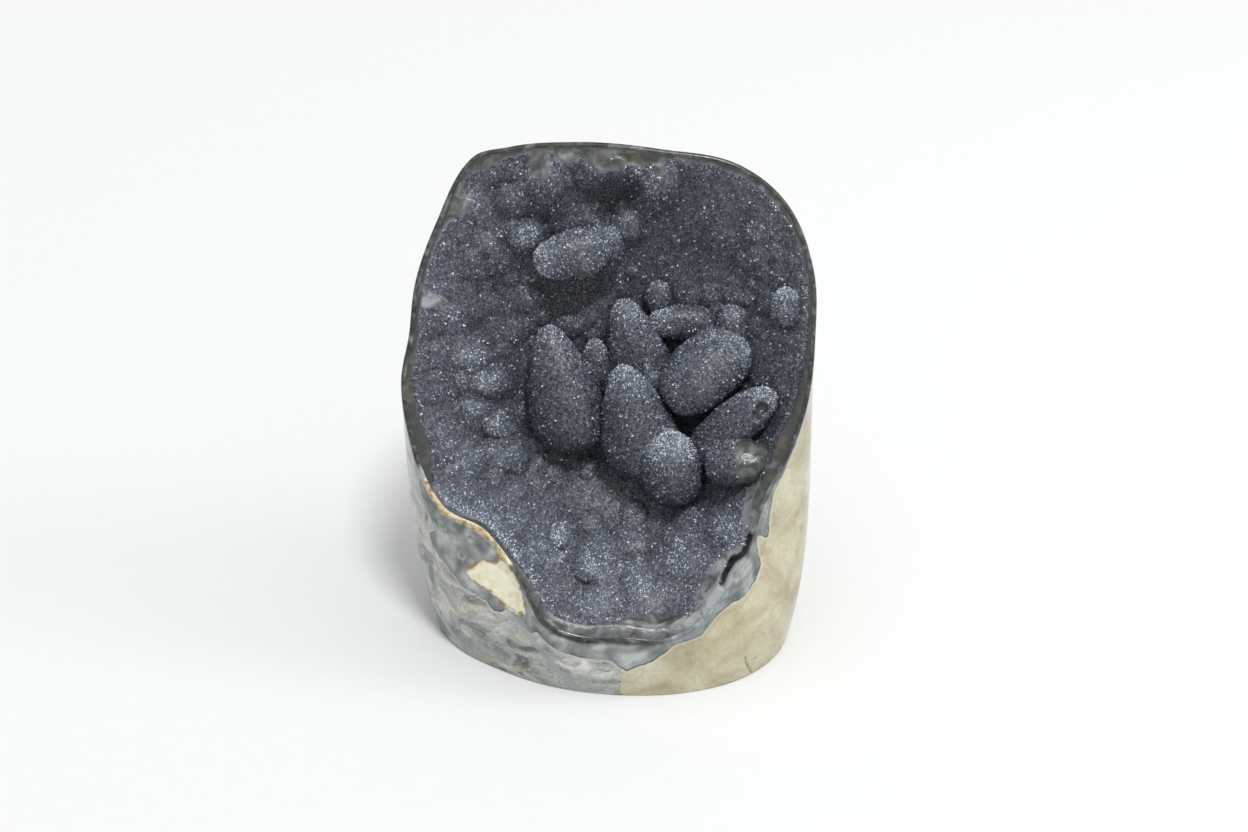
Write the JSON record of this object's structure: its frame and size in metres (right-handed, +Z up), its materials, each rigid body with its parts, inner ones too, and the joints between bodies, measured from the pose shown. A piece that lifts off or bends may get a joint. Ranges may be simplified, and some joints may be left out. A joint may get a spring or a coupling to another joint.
{
  "type": "amethyst and calcite specimen",
  "caption": "Polished free-standing piece of a geode with a flat sawn base and a slanted open hollow, lined with dark amethyst druse and holding stout calcite crystals.",
  "frame": {"origin": "middle of the object's box on the surface it stands on, under the sawn base", "axes": "+Z up, -Y towards the open hollow, +X to the right as the hollow is seen"},
  "size_m": [0.0897, 0.0672, 0.1111],
  "materials": {
    "polished_rock": "polished basalt and agate, cream at the right, veined grey-green at the left, grey agate at the rim",
    "amethyst_druse": "fine sparkling druse of dark blue-grey amethyst points",
    "coated_calcite": "calcite crystals coated with fine grey sparkling druse"
  },
  "bodies": {
    "root": {"matrix_rock": "polished_rock", "amethyst_crust": "amethyst_druse", "calcite_left": "coated_calcite", "calcite_back": "coated_calcite", "calcite_centre": "coated_calcite", "calcite_right": "coated_calcite", "calcite_lower_right": "coated_calcite", "calcite_wall_bud": "coated_calcite", "calcite_knob": "coated_calcite", "calcite_rim_bud": "coated_calcite"}
  },
  "joints": []
}
